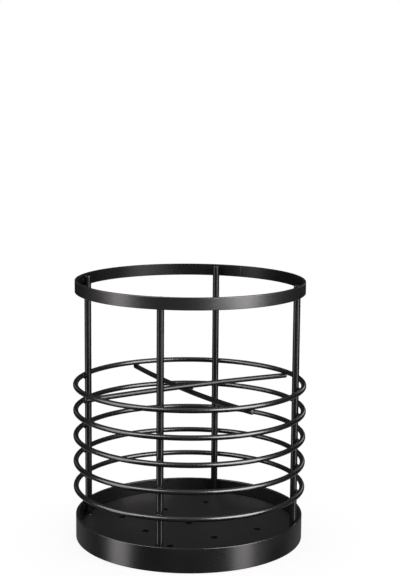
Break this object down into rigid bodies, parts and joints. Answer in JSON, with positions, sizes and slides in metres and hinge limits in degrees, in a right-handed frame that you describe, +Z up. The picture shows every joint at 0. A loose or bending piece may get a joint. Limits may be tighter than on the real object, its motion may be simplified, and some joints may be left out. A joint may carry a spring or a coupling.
{
  "type": "round wire utensil holder",
  "caption": "Round open holder for cutlery and kitchen tools: flat rim and base bands, wire rings on upright posts, crossed divider wires and a floor plate with drain holes.",
  "frame": {"origin": "centre of the base band's lower edge, on the surface that the holder stands on", "axes": "+Z up through the middle of the mouth; X and Y along the two crossed divider wires, so the posts stand on the diagonals"},
  "size_m": [0.1338, 0.1338, 0.15],
  "materials": {
    "black_powder_coat": "satin black powder coat on steel"
  },
  "bodies": {
    "root": {"base_band": "black_powder_coat", "floor_plate": "black_powder_coat", "post_1": "black_powder_coat", "post_2": "black_powder_coat", "post_3": "black_powder_coat", "post_4": "black_powder_coat", "wire_ring_1": "black_powder_coat", "wire_ring_2": "black_powder_coat", "wire_ring_3": "black_powder_coat", "wire_ring_4": "black_powder_coat", "wire_ring_5": "black_powder_coat", "divider_wire_upper": "black_powder_coat", "divider_wire_lower": "black_powder_coat", "rim_band": "black_powder_coat"}
  },
  "joints": []
}
